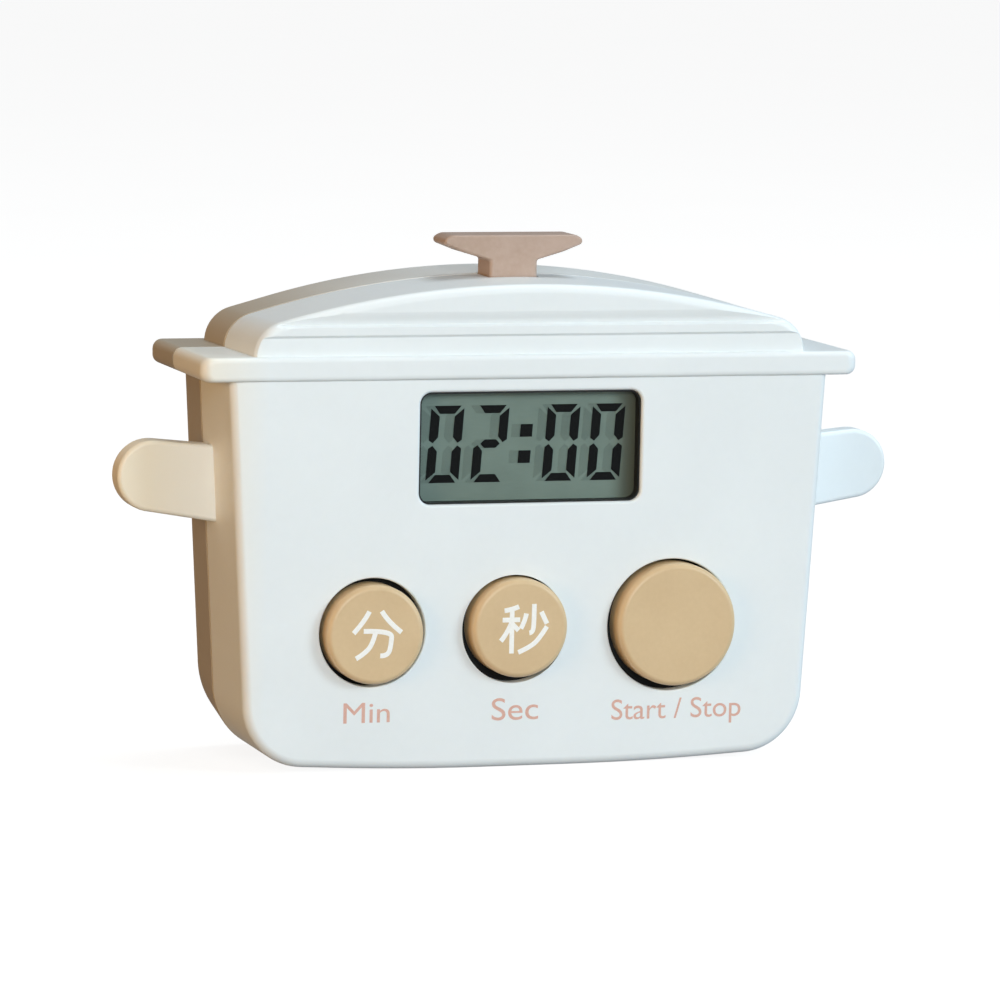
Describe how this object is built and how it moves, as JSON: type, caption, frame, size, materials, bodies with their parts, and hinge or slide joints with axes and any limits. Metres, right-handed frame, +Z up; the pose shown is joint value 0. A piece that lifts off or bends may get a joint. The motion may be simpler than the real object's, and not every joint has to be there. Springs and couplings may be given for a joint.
{
  "type": "digital kitchen timer",
  "caption": "Countdown kitchen timer shaped like a cooking pot, with a lid and knob, two side handles, a small display and round push buttons.",
  "frame": {"origin": "on the pot's base, under the middle of the whole timer's bounding box", "axes": "+X to the right as seen from the front, -Y out of the front face where the display and buttons are, +Z up"},
  "size_m": [0.0864, 0.023, 0.0562],
  "materials": {
    "ivory_plastic": "satin moulded ABS",
    "dusty_pink_plastic": "satin moulded ABS",
    "camel_plastic": "satin moulded ABS",
    "clear_acrylic": "polished clear acrylic",
    "black_plastic": "matte",
    "display_glass": "polarised liquid crystal glass",
    "reflector_film": "silvery film",
    "rubber": "matte",
    "board_laminate": "solder mask on glass epoxy",
    "epoxy": "cast",
    "nickel_steel": "nickel plated",
    "brass": "rolled",
    "ceramic": "silvered piezo ceramic",
    "battery_sleeve": "printed shrink sleeve",
    "magnet_steel": "dark ferrite",
    "red_insulation": "extruded",
    "black_insulation": "extruded"
  },
  "bodies": {
    "case": {"front_shell": "ivory_plastic", "rear_shell": "ivory_plastic", "knob": "dusty_pink_plastic", "lcd_window": "clear_acrylic", "lcd_holder": "black_plastic", "lcd_glass": "display_glass", "lcd_reflector": "reflector_film", "zebra_strip": "rubber", "circuit_board": "board_laminate", "controller_blob": "epoxy", "quartz_crystal": "nickel_steel", "capacitor": "black_plastic", "minute_switch": "nickel_steel", "second_switch": "nickel_steel", "start_stop_switch": "nickel_steel", "board_screw_left": "nickel_steel", "board_screw_right": "nickel_steel", "case_screw_1": "nickel_steel", "case_screw_2": "nickel_steel", "case_screw_3": "nickel_steel", "case_screw_4": "nickel_steel", "battery_cell": "battery_sleeve", "battery_plate_positive": "nickel_steel", "battery_plate_negative": "nickel_steel", "battery_spring": "nickel_steel", "battery_lead_positive": "red_insulation", "battery_lead_negative": "black_insulation", "buzzer_disc": "brass", "buzzer_ceramic": "ceramic", "buzzer_lead_positive": "red_insulation", "buzzer_lead_negative": "black_insulation", "magnet_left": "magnet_steel", "magnet_right": "magnet_steel"},
    "minute_button": {"minute_button": "camel_plastic"},
    "second_button": {"second_button": "camel_plastic"},
    "start_stop_button": {"start_stop_button": "camel_plastic"},
    "battery_door": {"battery_door": "ivory_plastic"}
  },
  "joints": [
    {"name": "minute_press", "type": "slide", "parent": "case", "child": "minute_button", "axis": [0, 1, 0], "range_m": [0, 0.0008], "stiffness_N_per_m": 900},
    {"name": "second_press", "type": "slide", "parent": "case", "child": "second_button", "axis": [0, 1, 0], "range_m": [0, 0.0008], "stiffness_N_per_m": 900},
    {"name": "start_stop_press", "type": "slide", "parent": "case", "child": "start_stop_button", "axis": [0, 1, 0], "range_m": [0, 0.0008], "stiffness_N_per_m": 900},
    {"name": "battery_door_hinge", "type": "hinge", "parent": "case", "child": "battery_door", "pos_m": [-0.0264, 0.0093, 0.012], "axis": [0, 0, 1], "range_deg": [0, 28]}
  ]
}
